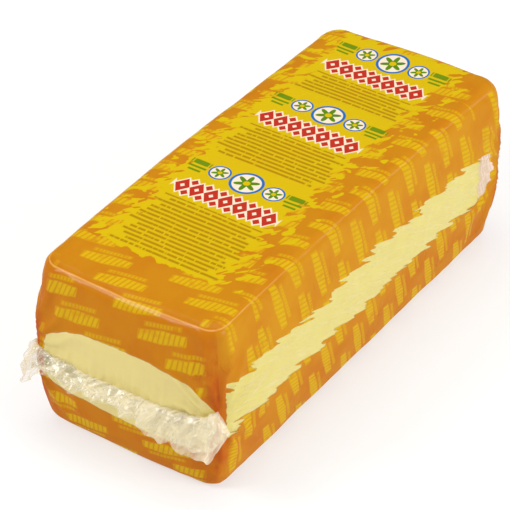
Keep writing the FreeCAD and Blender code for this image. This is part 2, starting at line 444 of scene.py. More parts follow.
@dataclass(frozen=True)
class LoafForm:
    """The wrapped block: a long box with rounded edges, swelling sides and an arched top."""

    width: float
    length: float
    height: float
    arch: float = 3.0
    side_belly: float = 5.0
    corner_belly: float = 4.5
    bow_edge: float = 1.5
    bow_middle: float = 6.0
    upright_radius: float = 9.0
    top_radius: float = 5.0
    base_radius: float = 6.0
    seal_level: float = 49.0
    far_fullness: float = 2.6
    left_fullness: float = 1.1

    @classmethod
    def from_sleeve(cls) -> LoafForm:
        """Reads the loaf's main sizes from the sleeve's corners.

        Returns:
            The form with those sizes.
        """
        _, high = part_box("film_sleeve")
        width = 2 * (high.x / MM - cls.side_belly)
        length = 2 * (high.y / MM - cls.corner_belly - cls.bow_middle)
        return cls(width=width, length=length, height=high.z / MM - cls.arch)

    @property
    def half(self) -> tuple[float, float, float]:
        """Half of each side of the plain box."""
        return self.width / 2, self.length / 2, self.height / 2

    @staticmethod
    def square_to_disc(a: np.ndarray, b: np.ndarray) -> tuple[np.ndarray, np.ndarray]:
        """Bends the outer edges of a square's quadrant onto the arc of the disc in it.

        Args:
            a: distances along one side.
            b: distances along the other.

        Returns:
            The bent distances.
        """
        far = np.maximum(np.hypot(a, b), TINY)
        share = np.maximum(a, b) / far
        return a * share, b * share

    def rounded(self, box: np.ndarray) -> np.ndarray:
        """Rounds the plain box's edges.

        Args:
            box: points on the plain box, centred on it.

        Returns:
            The points on the rounded box.
        """
        hx, hy, hz = self.half
        x, y, z = box.T
        radius = self.upright_radius
        dx = np.maximum(np.abs(x) - (hx - radius), 0)
        dy = np.maximum(np.abs(y) - (hy - radius), 0)
        ox, oy = self.square_to_disc(dx, dy)
        reach = np.hypot(ox, oy)
        safe = np.maximum(reach, TINY)
        rim = np.where(z > 0, self.top_radius, self.base_radius)
        depth = radius - reach
        inward = np.where(reach > TINY, np.maximum(rim - depth, 0), 0)
        upward = np.maximum(rim - (hz - np.abs(z)), 0)
        bent_in, bent_up = self.square_to_disc(inward, upward)
        corner = (inward > 0) & (upward > 0)
        reach = np.where(corner, radius - rim + bent_in, reach)
        tall = np.where(corner, hz - rim + bent_up, np.abs(z))
        flat_x = np.minimum(np.abs(x), hx - radius)
        flat_y = np.minimum(np.abs(y), hy - radius)
        return np.stack(
            [
                np.sign(x) * (flat_x + ox / safe * reach),
                np.sign(y) * (flat_y + oy / safe * reach),
                np.sign(z) * tall,
            ],
            axis=1,
        )

    def swollen(self, points: np.ndarray) -> np.ndarray:
        """Swells the sides and ends, arches the top and stands the loaf on the ground.

        Args:
            points: points on the rounded box.

        Returns:
            The points on the loaf.
        """
        hx, hy, hz = self.half
        x, y, z = (points / [hx, hy, hz]).T
        belly = 1 - z**2
        across = 1 - np.minimum(x**2, 1)
        bow = self.bow_edge * across
        bow += belly * (self.corner_belly + (self.bow_middle - self.bow_edge) * across)
        tall = points[:, 2] + hz
        return np.stack(
            [
                points[:, 0] + x * self.side_belly * belly,
                points[:, 1] + np.sign(y) * np.abs(y) ** 8 * bow,
                tall + (tall / self.height) ** 4 * self.arch * (1 - y**2),
            ],
            axis=1,
        )

    def end_line(self, x: np.ndarray) -> np.ndarray:
        """How far the end face stands out at the seal's level.

        Args:
            x: places across the loaf.

        Returns:
            The distance from the loaf's middle to its end face there.
        """
        hx, hy, _ = self.half
        side = hx + self.side_belly
        turn = np.clip(np.abs(x) - (side - self.upright_radius), 0, self.upright_radius * 0.98)
        corner = self.upright_radius - np.sqrt(self.upright_radius**2 - turn**2)
        bow = self.bow_middle * (1 - np.minimum(np.abs(x) / side, 1) ** 2)
        return hy + self.corner_belly + bow - corner

    def waves(self, points: np.ndarray) -> np.ndarray:
        """Gentle unevenness of the wrapped block, which stands fuller along two of its top edges.

        Args:
            points: places on the smooth loaf.

        Returns:
            Millimetres outwards at each place.
        """
        x, y, z = points.T
        far = ease(95.0, 138.0, y) * ease(-70.0, 5.0, x) * ease(62.0, 92.0, z)
        left = ease(-142.0, -95.0, y) * ease(25.0, 52.0, -x) * ease(62.0, 92.0, z)
        total = 0.45 * field_noise(points, 42.0, 3.1) + 0.16 * field_noise(points, 16.0, 7.7)
        return total + self.far_fullness * far + self.left_fullness * left * (1 - far)


@dataclass(frozen=True)
class LoafMesh:
    """Cuts a box into a fine even mesh and bends it to the loaf's form."""

    form: LoafForm
    cuts: tuple[int, int, int]

    def cage(self) -> bmesh.types.BMesh:
        """The plain box, cut evenly along its three axes.

        Returns:
            The box in millimetres, centred.
        """
        shell = bmesh.new()
        bmesh.ops.create_cube(shell, size=2.0)
        for axis, count in enumerate(self.cuts):
            along = [
                edge
                for edge in shell.edges
                if abs(edge.verts[0].co[axis] - edge.verts[1].co[axis]) > 1e-6
            ]
            bmesh.ops.subdivide_edges(shell, edges=along, cuts=count - 1, use_grid_fill=True)
        bmesh.ops.scale(shell, vec=Vector(self.form.half), verts=shell.verts)
        return shell

    def unfold(self, shell: bmesh.types.BMesh, name: str) -> None:
        """Writes the film's flat print layout to a UV map, in metres.

        The top lies in the middle, with the walls folded out around it down to the seal's level.
        The lower half is laid out in the same way round the base, one metre further along.

        Args:
            shell: the plain box.
            name: the map's name.
        """
        hx, hy, hz = self.form.half
        layer = shell.loops.layers.uv.new(name)
        for face in shell.faces:
            middle = face.calc_center_median()
            lower = middle.z < 0
            for loop in face.loops:
                x, y, z = loop.vert.co
                drop = hz + z if lower else hz - z
                if abs(abs(middle.x) - hx) < 1e-4:
                    x = math.copysign(hx + drop, middle.x)
                elif abs(abs(middle.y) - hy) < 1e-4:
                    y = math.copysign(hy + drop, middle.y)
                loop[layer].uv = (x * MM + (LOWER_SHEET * MM if lower else 0.0), y * MM)

    def bend(
        self, shell: bmesh.types.BMesh, relief: Callable[[np.ndarray], np.ndarray], inset: float
    ) -> None:
        """Gives the box the loaf's form and a relief along its normals.

        Args:
            shell: the plain box.
            relief: millimetres outwards for each point.
            inset: millimetres to move every point inwards.
        """
        box = np.array([vert.co for vert in shell.verts])
        smooth = self.form.swollen(self.form.rounded(box))
        for vert, place in zip(shell.verts, smooth):
            vert.co = place
        shell.normal_update()
        normals = np.array([vert.normal for vert in shell.verts])
        moved = smooth + normals * (relief(smooth) - inset)[:, None]
        moved[:, 2] = np.maximum(moved[:, 2], inset)
        for vert, place in zip(shell.verts, moved):
            vert.co = place * MM


def finished_piece(
    shell: bmesh.types.BMesh, name: str, material: bpy.types.Material
) -> bpy.types.Object:
    """Turns a bmesh in metres into a smoothly shaded piece that rides on the loaf.

    Args:
        shell: the mesh; it is freed.
        name: the piece's name.
        material: its finish.

    Returns:
        The object.
    """
    bmesh.ops.recalc_face_normals(shell, faces=shell.faces)
    for face in shell.faces:
        face.smooth = True
    mesh = bpy.data.meshes.new(name)
    shell.to_mesh(mesh)
    shell.free()
    mesh.materials.append(material)
    piece = bpy.data.objects.new(name, mesh)
    bpy.context.scene.collection.objects.link(piece)
    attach(piece, "root")
    LOG.info("%s: %d faces", name, len(mesh.polygons))
    return piece


# --- Finishes ---


@dataclass(frozen=True)
class PrintLayout:
    """Where the film's print lies on the flat sheet, in millimetres."""

    field_left: float = -38.0
    field_right: float = 29.5
    field_front: float = -100.5
    field_inset: float = 2.5
    brush_lean: tuple[float, float] = (0.64, 0.77)
    label_places: tuple[float, float, float] = (-36.0, 39.0, 102.0)
    label_floors: tuple[float, float, float] = (-101.0, -12.0, 62.3)
    label_middle: float = -3.5
    line_pitch: float = 3.05
    lozenge_pitch: float = 8.5
    round_pitch: float = 15.9
    wall_marks_from: float = 36.0
    wall_marks_end: float = 101.0
    low_marks_from: float = 98.0
    band_level: float = 51.0
    band_half: float = 13.5
    band_stop: float = 118.5
    band_start: float = 125.6
    stroke_run: float = 2.7
    stroke_length: float = 2.88
    cap_depth: float = 15.0
    lens_half: float = 46.0
    lens_top: float = 70.4
    lens_foot: float = 28.0
    lens_left: float = 41.3
    lens_right: float = 49.0


@dataclass(frozen=True)
class FlatSheet:
    """The film's flat print layout as readings, in millimetres.

    u and v run across and along the loaf, and level is the height on a wall. lower, on_end and
    on_wall are 1 on the sheet round the base, on the ends and on the long sides.
    """

    bench: Bench
    u: Reading
    v: Reading
    level: Reading
    lower: Reading
    on_end: Reading
    on_wall: Reading

    @classmethod
    def from_map(cls, bench: Bench, form: LoafForm) -> FlatSheet:
        """Reads the layout from the film's UV map.

        Args:
            bench: the material's bench.
            form: the wrapped block.

        Returns:
            The layout.
        """
        whole, v = bench.uv("print")
        lower = whole.over(LOWER_SHEET / 2)
        u = whole - lower * LOWER_SHEET
        past_side, past_end = abs(u) - form.half[0], abs(v) - form.half[1]
        drop = past_side.high(past_end).high(0.0)
        level = (1.0 - lower) * (form.height - drop) + lower * drop
        return cls(bench, u, v, level, lower, past_end.over(0.0), past_side.over(0.0))


@dataclass(frozen=True)
class MarkRows:
    """Staggered rows of slanted pills with a finer run above each, in millimetres."""

    run_pitch: float
    row_pitch: float
    shift: float
    tilt: float
    pill_pitch: float = 2.7
    pill_half: float = 1.05
    pill_lean: float = 0.2
    body_half: float = 3.3
    body_level: float = -1.2
    body_reach: float = 12.6
    fine_pitch: float = 1.9
    fine_half: float = 0.72
    fine_level: float = 4.2
    fine_reach: float = 9.8
    blur: float = 0.45

    def mask(self, x: Reading, y: Reading) -> Reading:
        """Where the marks lie.

        Args:
            x: sheet coordinate along the rows.
            y: sheet coordinate across the rows.

        Returns:
            The marks' mask.
        """
        rise = y - x * self.tilt
        row = (rise / self.row_pitch).floor()
        spot = (x + row * self.shift).repeat(self.run_pitch)
        up = rise.repeat(self.row_pitch)
        place = spot + self.pill_pitch / 2
        count = (place / self.pill_pitch).floor()
        body = self.body_half - abs(count) * 0.22 - abs(up - self.body_level)
        pill = self.pill_half - abs((place - up * self.pill_lean).repeat(self.pill_pitch))
        bar = pill.low(body).low(self.body_reach - abs(spot))
        fine = self.fine_half - abs(spot.repeat(self.fine_pitch))
        thin = fine.low(1.0 - abs(up - self.fine_level)).low(self.fine_reach - abs(spot))
        return (bar.edge(self.blur) * 0.95).high(thin.edge(self.blur) * 0.7)


@dataclass(frozen=True)
class LabelPlace:
    """Place on the nearest label, in millimetres.

    x runs from its middle and w up from its base line. room is the height above the place where
    its fine lines stop, and field is 1 on the yellow field.
    """

    bench: Bench
    x: Reading
    w: Reading
    room: Reading
    field: Reading


@dataclass(frozen=True)
class PrintedFilm:
    """Glossy shrink film, printed orange and yellow, clear in bands along the sides and ends."""

    form: LoafForm
    layout: PrintLayout
    orange: Rgb = srgb(191, 125, 14)
    # The side and end oranges are lit and shaded copies of the one orange: painted light on the
    # sides, painted shade on the ends.
    orange_lit_side: Rgb = srgb(199, 136, 20)
    orange_shaded_end: Rgb = srgb(195, 122, 12)
    # The deep orange carries the print's mottle and the painted shade.
    orange_deep: Rgb = srgb(183, 84, 14)
    yellow: Rgb = srgb(204, 174, 6)
    mark_yellow: Rgb = srgb(207, 168, 12)
    red: Rgb = srgb(180, 46, 30)
    pale: Rgb = srgb(236, 216, 190)
    green: Rgb = srgb(84, 126, 10)
    blue: Rgb = srgb(30, 102, 172)
    ochre: Rgb = srgb(160, 113, 6)
    haze: Rgb = srgb(250, 240, 214)
    haze_cap: Rgb = srgb(238, 212, 200)
    # Pale peach of the painted highlight along the top edges.
    highlight_peach: Rgb = srgb(242, 190, 112)
    end_marks: MarkRows = MarkRows(run_pitch=46.0, row_pitch=12.2, shift=15.5, tilt=0.17)
    wall_marks: MarkRows = MarkRows(run_pitch=30.0, row_pitch=17.2, shift=14.0, tilt=0.22)
    low_marks: MarkRows = MarkRows(run_pitch=36.0, row_pitch=14.0, shift=14.0, tilt=0.42)

    def make(self) -> bpy.types.Material:
        """Builds the material.

        Returns:
            The finished material.
        """
        material, bench = new_bench("printed_film")
        sheet = FlatSheet.from_map(bench, self.form)
        colour = self.ground(sheet)
        # The last layer paints highlights along the top edges.
        for layer in (self.marks, self.field, self.painted_edge_highlights):
            colour = layer(sheet, colour)
        normal = self.creases(bench)
        matt = bench.node(
            "ShaderNodeBsdfPrincipled",
            Base_Color=colour,
            Roughness=0.5,
            IOR=1.45,
            Specular_IOR_Level=0.0,
            Normal=normal,
        )
        ink = bench.blend(bench.sheen_weight(normal, 0.01, 0.12), matt, bench.gloss(0.22, normal))
        shine = bench.gloss(0.18, normal)
        glazed = bench.blend(bench.sheen_weight(normal, 0.04, 0.4), bench.window(), shine)
        cap = self.layout.band_stop - self.layout.cap_depth
        capped = abs(sheet.v).rise(cap - 1.0, cap + 1.0) * sheet.on_wall
        milky = bench.paint(self.haze, self.haze_cap, capped)
        milk = bench.node("ShaderNodeBsdfDiffuse", Color=milky, Normal=normal)
        # The milky film carries its own milkiness and also painted highlight streaks and painted
        # reflection haze.
        film = bench.blend(self.milkiness(sheet), glazed, milk)
        bench.show(bench.blend(self.bare(sheet), ink, film))
        return material

    def creases(self, bench: Bench) -> bpy.types.NodeSocket:
        """Fine creases all over, with a few patches of puckers on the walls.

        Args:
            bench: the material's bench.

        Returns:
            The bent normal.
        """
        x, y, z = bench.place()
        creases = bench.grain(x / 3.0, y / 9.0, z / 5.0, 3.0, 0.6)
        soft = bench.grain(x / 14.0, y / 18.0, z / 14.0)
        line = 1.0 - abs(bench.grain(x / 7.0, y / 5.0, z / 11.0, 1.0) - 0.5) * 14.0
        patch = bench.grain(x / 24.0, y / 24.0, z / 24.0, 0.0).rise(0.6, 0.68)
        pucker = line.high(0.0) * patch * z.rise(88.0, 78.0)
        return bench.bump(creases * 0.35 + soft + pucker * 0.8, 0.0006, 0.55)

    def bare(self, sheet: FlatSheet) -> Reading:
        """Where no ink lies: a band with brushed edges along each side and a lens on each end.

        Args:
            sheet: the flat layout.

        Returns:
            The share without ink.
        """
        bench, u, v, level, lay = sheet.bench, sheet.u, sheet.v, sheet.level, self.layout
        side, way, along, across = self.strokes(sheet)
        stroke = bench.grain(across / 3.4, along / 46.0, side * 3.0, 1.5) - 0.5
        nick = bench.grain(across / 1.3, along / 14.0, side * 5.0, 1.0) - 0.5
        off = abs(level - lay.band_level)
        band = lay.band_half - off + (stroke * 21.0 + nick * 4.0)
        cap = (lay.band_stop - way) * 0.8 - off * 0.35 + nick * 3.0
        band = band.low(cap).low(way + lay.band_start + nick * 1.5)
        ripple = (bench.grain(u / 9.0, v / 40.0, 2.0) - 0.5) * 2.4
        reach = abs(u) / lay.lens_half
        top = lay.lens_top - (u * u) * 0.0028 - reach.power(6.0) * 8.0 - (-20.0 - u).high(0.0) * 0.2
        foot = lay.lens_foot - u * 0.08 + (u / lay.lens_half).high(0.0).power(6.0) * 12.0
        blunt = u + lay.lens_left - (level - self.form.seal_level).high(0.0) * 0.12
        lens = (top - level).low(level - foot).low(blunt).low(lay.lens_right - u) + ripple
        return (band.edge(0.25) * sheet.on_wall).high(lens.edge(0.25) * sheet.on_end)

    def strokes(self, sheet: FlatSheet) -> tuple[Reading, Reading, Reading, Reading]:
        """Directions of the band's brush strokes, which climb alike on both sides.

        Args:
            sheet: the flat layout.

        Returns:
            The side, the way along it towards its cap, and the places along and across a stroke.
        """
        run, length = self.layout.stroke_run, self.layout.stroke_length
        side = sheet.u.maths("SIGN")
        way = sheet.v * side
        return side, way, (way * run - sheet.level) / length, (way + sheet.level * run) / length

    def milkiness(self, sheet: FlatSheet) -> Reading:
        """Where the clear film is milky: its own milkiness where it gathers at the band's caps,
        with painted highlight streaks and a painted bright rim there, painted highlight streaks
        along the bands, and a haze of painted reflection over the end lenses.

        Args:
            sheet: the flat layout.

        Returns:
            The share of milkiness.
        """
        bench, stop = sheet.bench, self.layout.band_stop
        cap = stop - self.layout.cap_depth
        _, way, along, across = self.strokes(sheet)
        gather = way.rise(cap, cap + 3.0) * sheet.on_wall
        # Streaks that stand for highlights on the band's wrinkles: painted highlight.
        streak_highlight = bench.grain(across / 2.2, along / 22.0, 9.0)
        # The cap's milky pleats, with painted highlight streaks and a painted bright rim.
        pleat = bench.grain(sheet.v / 1.8, sheet.u / 22.0, 7.0, 1.0)
        rim = way.rise(stop - 4.5, stop - 2.5) * 0.25
        haze = gather * (pleat.rise(0.35, 0.65) * 0.3 + rim + 0.42)
        # The end lenses get a haze of painted reflection.
        return haze + sheet.on_wall * streak_highlight.rise(0.5, 0.72) * 0.16 + sheet.on_end * 0.15

    def ground(self, sheet: FlatSheet) -> bpy.types.NodeSocket:
        """Orange ground, a little uneven, with painted light and shade: a lit copy of the orange on
        the sides, a shaded copy on the ends, painted shade towards the bottom of the walls and ends
        and down the upright corners, and deeper, redder painted fold shade where the film bunches
        at the ends' corners.

        Args:
            sheet: the flat layout.

        Returns:
            The ground colour.
        """
        bench, u, v, level = sheet.bench, sheet.u, sheet.v, sheet.level
        hx, hy, _ = self.form.half
        mottle = bench.grain(u / 22.0, v / 30.0, 4.0, 3.0, 0.6)
        # Where the film bunches at the ends' corners, its folds are painted as deeper, redder
        # shade.
        bunch = abs(u).rise(36.0, 50.0) * abs(v).rise(hy - 6.0, hy + 16.0)
        folds = bench.grain(u / 5.0, v / 7.0, 8.0, 3.0, 0.6)
        deep = mottle.rise(0.42, 0.72) * 0.34 + bunch * folds.rise(0.2, 0.6) * 0.7
        # Painted shade: darker towards the bottom of the ends and of the walls.
        deep = deep + sheet.on_end * level.rise(44.0, 18.0) * 0.16
        deep = deep + sheet.on_wall * level.rise(50.0, 20.0) * 0.3
        x, y, z = bench.place()
        # Painted shade down the upright corners.
        upright = abs(x).rise(hx - 5.0, hx + 1.0) * abs(y).rise(hy - 7.0, hy - 1.0)
        deep = deep + upright * z.rise(84.0, 56.0) * z.rise(0.0, 40.0) * 0.55
        # Lit and shaded copies of the orange: painted light on the sides, painted shade on the
        # ends.
        tone = bench.paint(self.orange, self.orange_lit_side, abs(x).rise(hx - 4.0, hx + 1.0))
        tone = bench.paint(tone, self.orange_shaded_end, abs(y).rise(hy - 3.0, hy + 3.0))
        return bench.paint(tone, self.orange_deep, deep.low(1.0))

    def marks(self, sheet: FlatSheet, colour: bpy.types.NodeSocket) -> bpy.types.NodeSocket:
        """Rows of yellow marks, in one spread on the top and ends and others on the walls.

        Args:
            sheet: the flat layout.
            colour: the ground colour.

        Returns:
            The colour with the marks.
        """
        bench, u, v, lower, lay = sheet.bench, sheet.u, sheet.v, sheet.lower, self.layout
        x = u * (1.0 - lower * 2.0)
        beside = abs(u).over(lay.wall_marks_from) * (lay.wall_marks_end - abs(v)).over(0.0)
        level_low = beside * abs(u).over(lay.low_marks_from).high(lower)
        ends = self.end_marks.mask(x + 3.0, v + 4.0)
        walls = self.wall_marks.mask(x + 4.0, v + 1.5)
        low = self.low_marks.mask(x, v)
        mask = ends * (1.0 - beside) + walls * (beside - level_low) + low * level_low
        wear = bench.grain(u / 6.0, v / 6.0, 1.0).rise(0.15, 0.45)
        hx, hy, _ = self.form.half
        corner = abs(u).rise(hx - 9.0, hx - 6.0) * abs(v).rise(hy - 9.0, hy - 6.0)
        return bench.paint(colour, self.mark_yellow, mask * wear * (1.0 - corner))

    def field_mask(self, sheet: FlatSheet) -> Reading:
        """Where the yellow field with its brushed edges lies: down the middle of the top.

        Args:
            sheet: the flat layout.

        Returns:
            1 on the field.
        """
        bench, u, v, lay = sheet.bench, sheet.u, sheet.v, self.layout
        lean_u, lean_v = lay.brush_lean
        along = (u * lean_u + v * lean_v) / 15.0
        across = u * lean_v - v * lean_u
        brush = bench.grain(across / 3.6, along, 0.0, 1.5) - 0.5
        flick = bench.grain(across / 1.5, along * 2.2, 5.0, 1.0) - 0.5
        jag = brush * 30.0 + flick * 7.0
        front = (bench.grain(u / 5.0, v / 14.0, 3.0) - 0.5) * 9.0
        from_left, from_right = u - lay.field_left, lay.field_right - u
        splash = bench.grain(across / 4.2, along * 1.6, 11.0, 1.0) - 0.6
        rim = (from_left + 12.0).low(from_right + 14.0)
        inside = (from_left + jag).low(from_right + jag).high((splash * 40.0).low(rim))
        back = (self.form.half[1] - lay.field_inset - v) + front * 0.4 + brush * 34.0
        inside = inside.low(v - lay.field_front + front).low(back)
        return inside.edge(0.3) * (1.0 - sheet.on_wall.high(sheet.lower))

    def field(self, sheet: FlatSheet, colour: bpy.types.NodeSocket) -> bpy.types.NodeSocket:
        """Yellow field, a little uneven, and the labels on it.

        Args:
            sheet: the flat layout.
            colour: the ground with its marks.

        Returns:
            The colour with the field.
        """
        bench = sheet.bench
        mask = self.field_mask(sheet)
        tone = bench.grain(sheet.u / 16.0, sheet.v / 24.0, 6.0).rise(0.45, 0.8)
        yellow = bench.paint(self.yellow, self.mark_yellow, tone * 0.45)
        place = self.label_place(sheet, mask)
        colour = bench.paint(colour, yellow, mask)
        for layer in (self.fine_lines, self.side_bars, self.roundels, self.red_row):
            colour = layer(place, colour)
        return colour

    def label_place(self, sheet: FlatSheet, field: Reading) -> LabelPlace:
        """Where a place lies on the nearest of the three labels.

        Args:
            sheet: the flat layout.
            field: 1 on the yellow field.

        Returns:
            The place.
        """
        v = sheet.v
        first, second, third = self.layout.label_places
        start, low_break, high_break = self.layout.label_floors
        past_low, past_high = v.over(low_break), v.over(high_break)
        base = past_low * (second - first) + past_high * (third - second) + first
        floor = past_low * (low_break - start) + past_high * (high_break - low_break) + start
        x = sheet.u + sheet.lower * OFF_SHEET - self.layout.label_middle
        return LabelPlace(sheet.bench, x, v - base, v - floor, field)

    def fine_lines(self, place: LabelPlace, colour: bpy.types.NodeSocket) -> bpy.types.NodeSocket:
        """Centred rows of fine broken ochre lines under each label.

        Args:
            place: place on the label.
            colour: colour below.

        Returns:
            The colour with the lines.
        """
        bench, x, w, pitch = place.bench, place.x, place.w, self.layout.line_pitch
        tall = w + 300.0
        row = (tall / pitch).floor()
        luck = bench.chance(row)
        dash = bench.grain(x / 1.5, row * 3.3, 0.0, 1.0).rise(0.32, 0.42)
        line = (0.78 - abs(tall.repeat(pitch))).low(22.0 + luck * 12.0 - abs(x))
        inside = line.low(-17.6 - w).low(place.room - 1.5)
        there = (0.88 - luck).over(0.0) * place.field
        return bench.paint(colour, self.ochre, inside.edge(0.3) * dash * there * 0.85)

    def side_bars(self, place: LabelPlace, colour: bpy.types.NodeSocket) -> bpy.types.NodeSocket:
        """Small green bars to both sides of the rounds.

        Args:
            place: place on the label.
            colour: colour below.

        Returns:
            The colour with the bars.
        """
        beside = abs(place.x) - 28.2
        up = place.w - 9.0
        wide = (3.1 - abs(beside)).low(1.5 - abs(up - 4.2)) + 0.35
        beads = 0.8 - abs(beside.repeat(2.3))
        upper = beads.low(1.7 - abs(up - 4.2)).low(5.7 - abs(beside))
        middle = (0.75 - abs(up)).low(5.2 - abs(beside))
        lower = (0.75 - abs(up + 3.0)).low(3.6 - abs(beside))
        mask = wide.high(upper).high(middle).high(lower).edge(0.25)
        return place.bench.paint(colour, self.green, mask * 0.9)

    def roundels(self, place: LabelPlace, colour: bpy.types.NodeSocket) -> bpy.types.NodeSocket:
        """Three flowers in blue-rimmed rounds, side by side, the middle one larger.

        Args:
            place: place on the label.
            colour: colour below.

        Returns:
            The colour with the rounds.
        """
        up = place.w - 10.9
        for across, size in ((place.x, 1.0), (abs(place.x) - self.layout.round_pitch, 0.66)):
            far = (across * across + up * up).power(0.5) / size
            turn = across.maths("ARCTAN2", up)
            petals = (turn * 6.0).maths("COSINE") * 2.0 + 4.7
            for tone, edge in (
                (self.blue, 9.0),
                (self.pale, 7.5),
                (self.green, petals),
                (self.yellow, 1.9),
            ):
                colour = place.bench.paint(colour, tone, (edge - far).edge(0.2))
        return colour

    def red_row(self, place: LabelPlace, colour: bpy.types.NodeSocket) -> bpy.types.NodeSocket:
        """Row of red lozenges with pale hearts and a pale outline.

        Args:
            place: place on the label.
            colour: colour below.

        Returns:
            The colour with the row.
        """
        bench, x, pitch = place.bench, place.x, self.layout.lozenge_pitch
        up = place.w + 7.8
        spot = (x + pitch / 2).repeat(pitch)
        big = 6.3 - abs(spot) * 1.5 - abs(up)
        heart = 1.6 - abs(spot) * 1.2 - abs(up)
        between = 2.5 - abs(x.repeat(pitch)) * 1.15 - abs(abs(up) - 4.9)
        stop = 29.7 - abs(x)
        solid = big.low(stop).high(between.low(25.5 - abs(x)))
        colour = bench.paint(colour, self.pale, (solid + 1.3).edge(0.3))
        colour = bench.paint(colour, self.red, solid.edge(0.2))
        return bench.paint(colour, self.pale, heart.low(stop).edge(0.2))

    def painted_edge_highlights(self, sheet: FlatSheet, colour: bpy.types.NodeSocket) -> bpy.types.NodeSocket:
        """Painted highlight: thin pale lines along the rounded top edges, where the light glances
        off them, strongest in front.

        Args:
            sheet: the flat layout.
            colour: colour below.

        Returns:
            The colour with the lines.
        """
        bench, u, v = sheet.bench, sheet.u, sheet.v
        hx, hy, _ = self.form.half
        waver = (bench.grain(u / 24.0, v / 24.0, 12.0, 1.0) - 0.5) * 1.4
        patch = bench.grain(u / 13.0, v / 13.0, 14.0, 1.0).rise(0.3, 0.6) * 0.5 + 0.5
        across = (0.45 - abs(abs(v) - hy + waver)).low(hx + 0.5 - abs(u))
        along = (0.4 - abs(abs(u) - hx + waver)).low(hy + 0.5 - abs(v))
        fade = v.rise(75.0 - hy, 15.0 - hy) * 0.75 + 0.1
        # Painted highlight lines along the top edges.
        lines = (across.edge(0.5) * 0.62).high(along.edge(0.5) * fade * 0.62)
        return bench.paint(colour, self.highlight_peach, lines * patch * (1.0 - sheet.lower))


@dataclass(frozen=True)
class CheeseBody:
    """Mild semi-soft cheese: smooth, pale butter yellow, faintly mottled, its ends painted lighter
    as a lit copy of its colour.
    """

    colour: Rgb = srgb(216, 202, 103)
    deep: Rgb = srgb(209, 190, 88)
    # The ends' colour is painted lighter, a lit copy of the cheese's colour.
    end_lit_colour: Rgb = srgb(225, 206, 103)
    end_at: float = 130.0

    def make(self) -> bpy.types.Material:
        """Builds the material.

        Returns:
            The finished material.
        """
        material, bench = new_bench("cheese")
        x, y, z = bench.place()
        mottle = bench.grain(x / 12.0, y / 16.0, z / 12.0, 4.0, 0.6)
        pores = bench.grain(x / 5.0, y / 5.0, z / 5.0)
        # Painted light: the ends are lighter.
        at_end = abs(y).rise(self.end_at, self.end_at + 4.0)
        lit_ends = bench.paint(self.colour, self.end_lit_colour, at_end)
        colour = bench.paint(lit_ends, self.deep, mottle.rise(0.4, 0.75) * 0.5)
        normal = bench.bump(pores, 0.0003, 0.4)
        body = bench.node(
            "ShaderNodeBsdfPrincipled",
            Base_Color=colour,
            Roughness=0.45,
            IOR=1.45,
            Normal=normal,
        )
        body.inputs["Subsurface Weight"].default_value = 0.12
        body.inputs["Subsurface Radius"].default_value = (0.004, 0.003, 0.0015)
        bench.show(body)
        return material


@dataclass(frozen=True)
class ClearFilm:
    """Crumpled clear film: see-through and glossy; its milkiness along the creases is partly the
    film's own and partly painted reflection of the bright surroundings, and a painted highlight
    runs along the seal's root.

    width and reach are a sheet's size in metres, over which its UV map is spread.
    """

    milk: Rgb = srgb(252, 245, 220)
    width: float = 0.11
    reach: float = 0.012

    def make(self) -> bpy.types.Material:
        """Builds the material.

        Returns:
            The finished material.
        """
        material, bench = new_bench("clear_film")
        x, y, z = bench.place()
        crush = bench.grain(x / 6.0, y / 8.0, z / 8.0)
        normal = bench.bump(crush, 0.0022, 0.6)
        milk = bench.node("ShaderNodeBsdfDiffuse", Color=self.milk)
        glow = bench.node("ShaderNodeBsdfTranslucent", Color=self.milk)
        body = bench.blend(0.5, milk, glow)
        across, out = bench.uv("sheet")
        across, out = across * self.width, out * self.reach
        slant = across + out * 0.8
        wide = 1.0 - abs(bench.grain(slant / 7.0, out / 14.0, y / 14.0, 1.0) - 0.5) * 8.0
        narrow = 1.0 - abs(bench.grain(slant / 3.6, out / 9.0, y / 9.0, 1.0) - 0.5) * 9.0
        # Painted highlight along the seal's root.
        root = out.rise(3.0, 0.0)
        # Milky creases: partly the film's own milkiness, partly painted reflection of the bright
        # surroundings.
        cloud = wide.rise(0.1, 1.0) * 0.32 + narrow.rise(0.1, 1.0) * 0.18 + root * 0.3 + 0.08
        ear = across.rise(14.0, 6.0) * 0.3
        cloud = (cloud + (across - 60.0) * 0.0035 + ear).high(0.02)
        hazy = bench.blend(cloud, bench.window(), body)
        sheen = bench.sheen_weight(normal, 0.05, 0.24)
        bench.show(bench.blend(sheen, hazy, bench.gloss(0.3, normal)))
        return material


@dataclass(frozen=True)
class PaleFloor:
    """Plain matt white studio floor, lit from below so that shadows on it are faint."""

    colour: Rgb = (0.95, 0.95, 0.95)
    glow: float = 0.55

    def make(self) -> bpy.types.Material:
        """Builds the material.

        Returns:
            The finished material.
        """
        material, bench = new_bench("pale_floor")
        x, y, _ = bench.place()
        tooth = bench.grain(x / 8.0, y / 8.0)
        colour = bench.paint(self.colour, (0.93, 0.93, 0.93), tooth)
        matt = bench.node("ShaderNodeBsdfDiffuse", Color=colour)
        glow = bench.node("ShaderNodeEmission", Color=(1.0, 1.0, 1.0), Strength=1.0)
        bench.show(bench.blend(self.glow, matt, glow))
        return material


# --- Pieces ---


@dataclass(frozen=True)
class Cheese:
    """The block of cheese inside the film, pressed to the film's ripples where it is clear."""

    film: Film
    gap: float = 0.07

    def build(self) -> bpy.types.Object:
        """Makes the block.

        Returns:
            The piece.
        """
        maker = LoafMesh(self.film.form, self.film.cuts)
        shell = maker.cage()
        maker.bend(shell, lambda points: self.film.relief(points, gathers=0.85), self.gap)
        piece = finished_piece(shell, "cheese", CheeseBody().make())
        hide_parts("cheese_loaf")
        return piece


